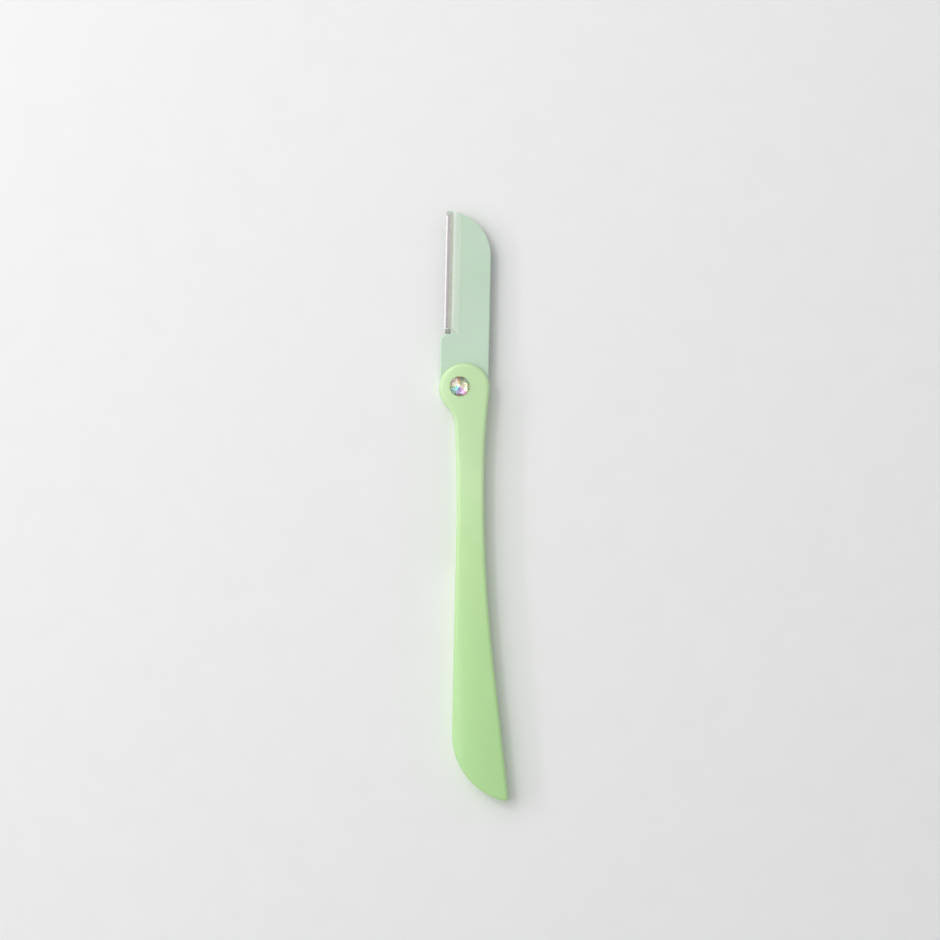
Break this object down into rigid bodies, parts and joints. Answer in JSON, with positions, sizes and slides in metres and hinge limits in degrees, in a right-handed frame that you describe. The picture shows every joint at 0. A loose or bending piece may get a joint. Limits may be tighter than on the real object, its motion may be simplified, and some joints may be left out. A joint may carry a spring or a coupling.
{
  "type": "folding eyebrow razor",
  "caption": "Slim folding eyebrow razor: a curved moulded handle with a slot, and a guarded blade in a pale holder that turns on a stone-capped pivot.",
  "frame": {"origin": "on the pivot's axis, in the flat back that the razor rests on", "axes": "+Y from the pivot towards the open blade's tip, +X away from the cutting edge, +Z out of the face with the stone"},
  "size_m": [0.0202, 0.153, 0.0074],
  "materials": {
    "handle_plastic": "satin moulded, pale green",
    "holder_plastic": "satin moulded, milky pale green",
    "blade_steel": "rolled strip with a ground edge",
    "guard_steel": "bright folded foil",
    "pin_steel": "turned",
    "stone": "faceted, foil backed, with a rainbow coating"
  },
  "bodies": {
    "handle": {"handle_rear": "handle_plastic", "handle_front": "handle_plastic", "pivot_pin": "pin_steel", "pivot_stone": "stone"},
    "holder": {"holder_back": "holder_plastic", "holder_front": "holder_plastic", "blade": "blade_steel", "guard_net": "guard_steel"}
  },
  "joints": [
    {"name": "fold", "type": "hinge", "parent": "handle", "child": "holder", "pos_m": [0, 0, 0.003], "axis": [0, 0, 1], "range_deg": [0, 180]}
  ]
}
